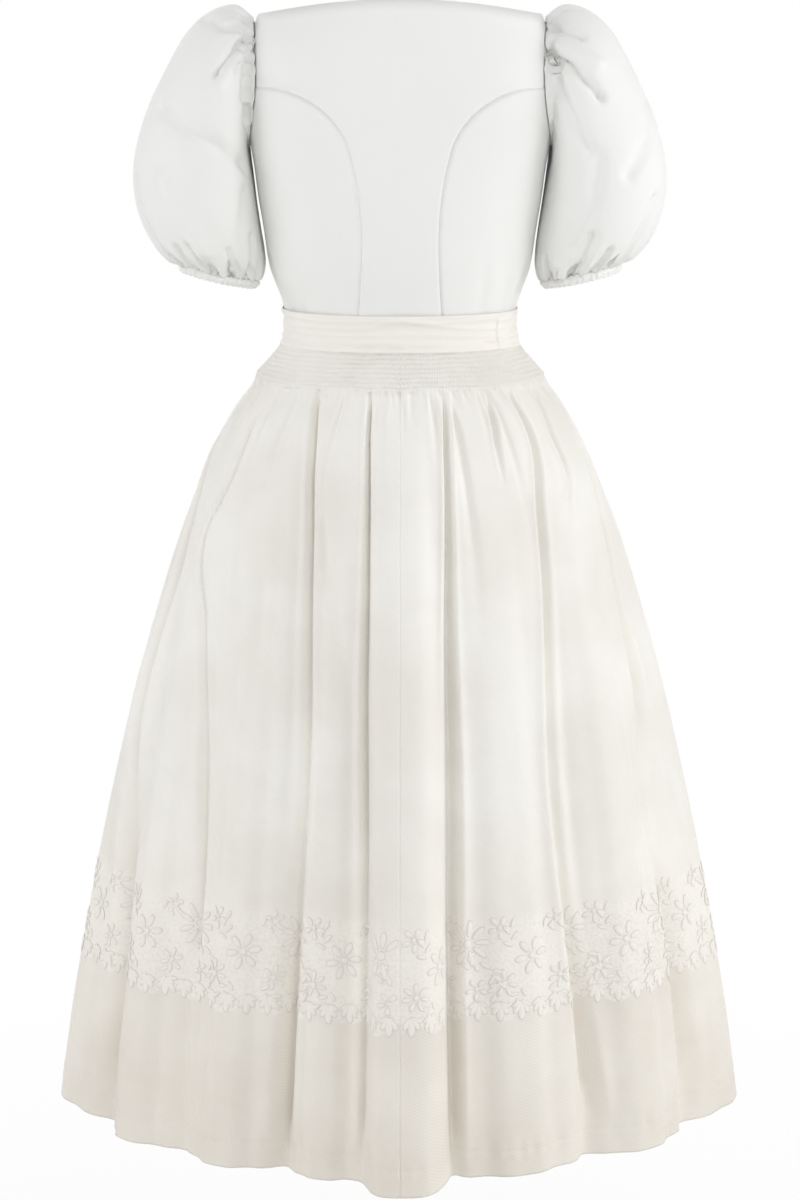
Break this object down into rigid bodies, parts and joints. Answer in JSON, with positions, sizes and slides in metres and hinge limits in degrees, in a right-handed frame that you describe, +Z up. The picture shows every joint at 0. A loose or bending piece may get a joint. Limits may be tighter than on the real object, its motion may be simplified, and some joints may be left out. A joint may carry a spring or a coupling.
{
  "type": "worn dirndl",
  "caption": "Hollow dirndl as worn: princess-seamed bodice, gathered puff sleeves, folded sash, smocked waist and a long full gathered skirt with a floral lace border",
  "frame": {"origin": "middle of the waist, at the seam that joins bodice and skirt, where the wearer holds it up", "axes": "+Z up, from the hem to the neck; -Y to the wearer's front; +X to the wearer's left"},
  "size_m": [0.7469, 0.596, 1.1891],
  "materials": {
    "bodice_cloth": "matt white cotton",
    "sash_cloth": "soft warm white satin",
    "skirt_cloth": "ivory twill with a soft sheen, darker to beige at the hem"
  },
  "bodies": {
    "root": {"bodice_back": "bodice_cloth", "bodice_back_side_left": "bodice_cloth", "bodice_back_side_right": "bodice_cloth", "bodice_front_side_left": "bodice_cloth", "bodice_front_side_right": "bodice_cloth", "bodice_front_left": "bodice_cloth", "bodice_front_right": "bodice_cloth", "sleeve_left": "bodice_cloth", "sleeve_right": "bodice_cloth", "cuff_left": "bodice_cloth", "cuff_right": "bodice_cloth", "sash_wrap": "sash_cloth", "sash_end": "sash_cloth", "skirt_back_left": "skirt_cloth", "skirt_back_right": "skirt_cloth", "skirt_front_left": "skirt_cloth", "skirt_front_right": "skirt_cloth"}
  },
  "joints": []
}
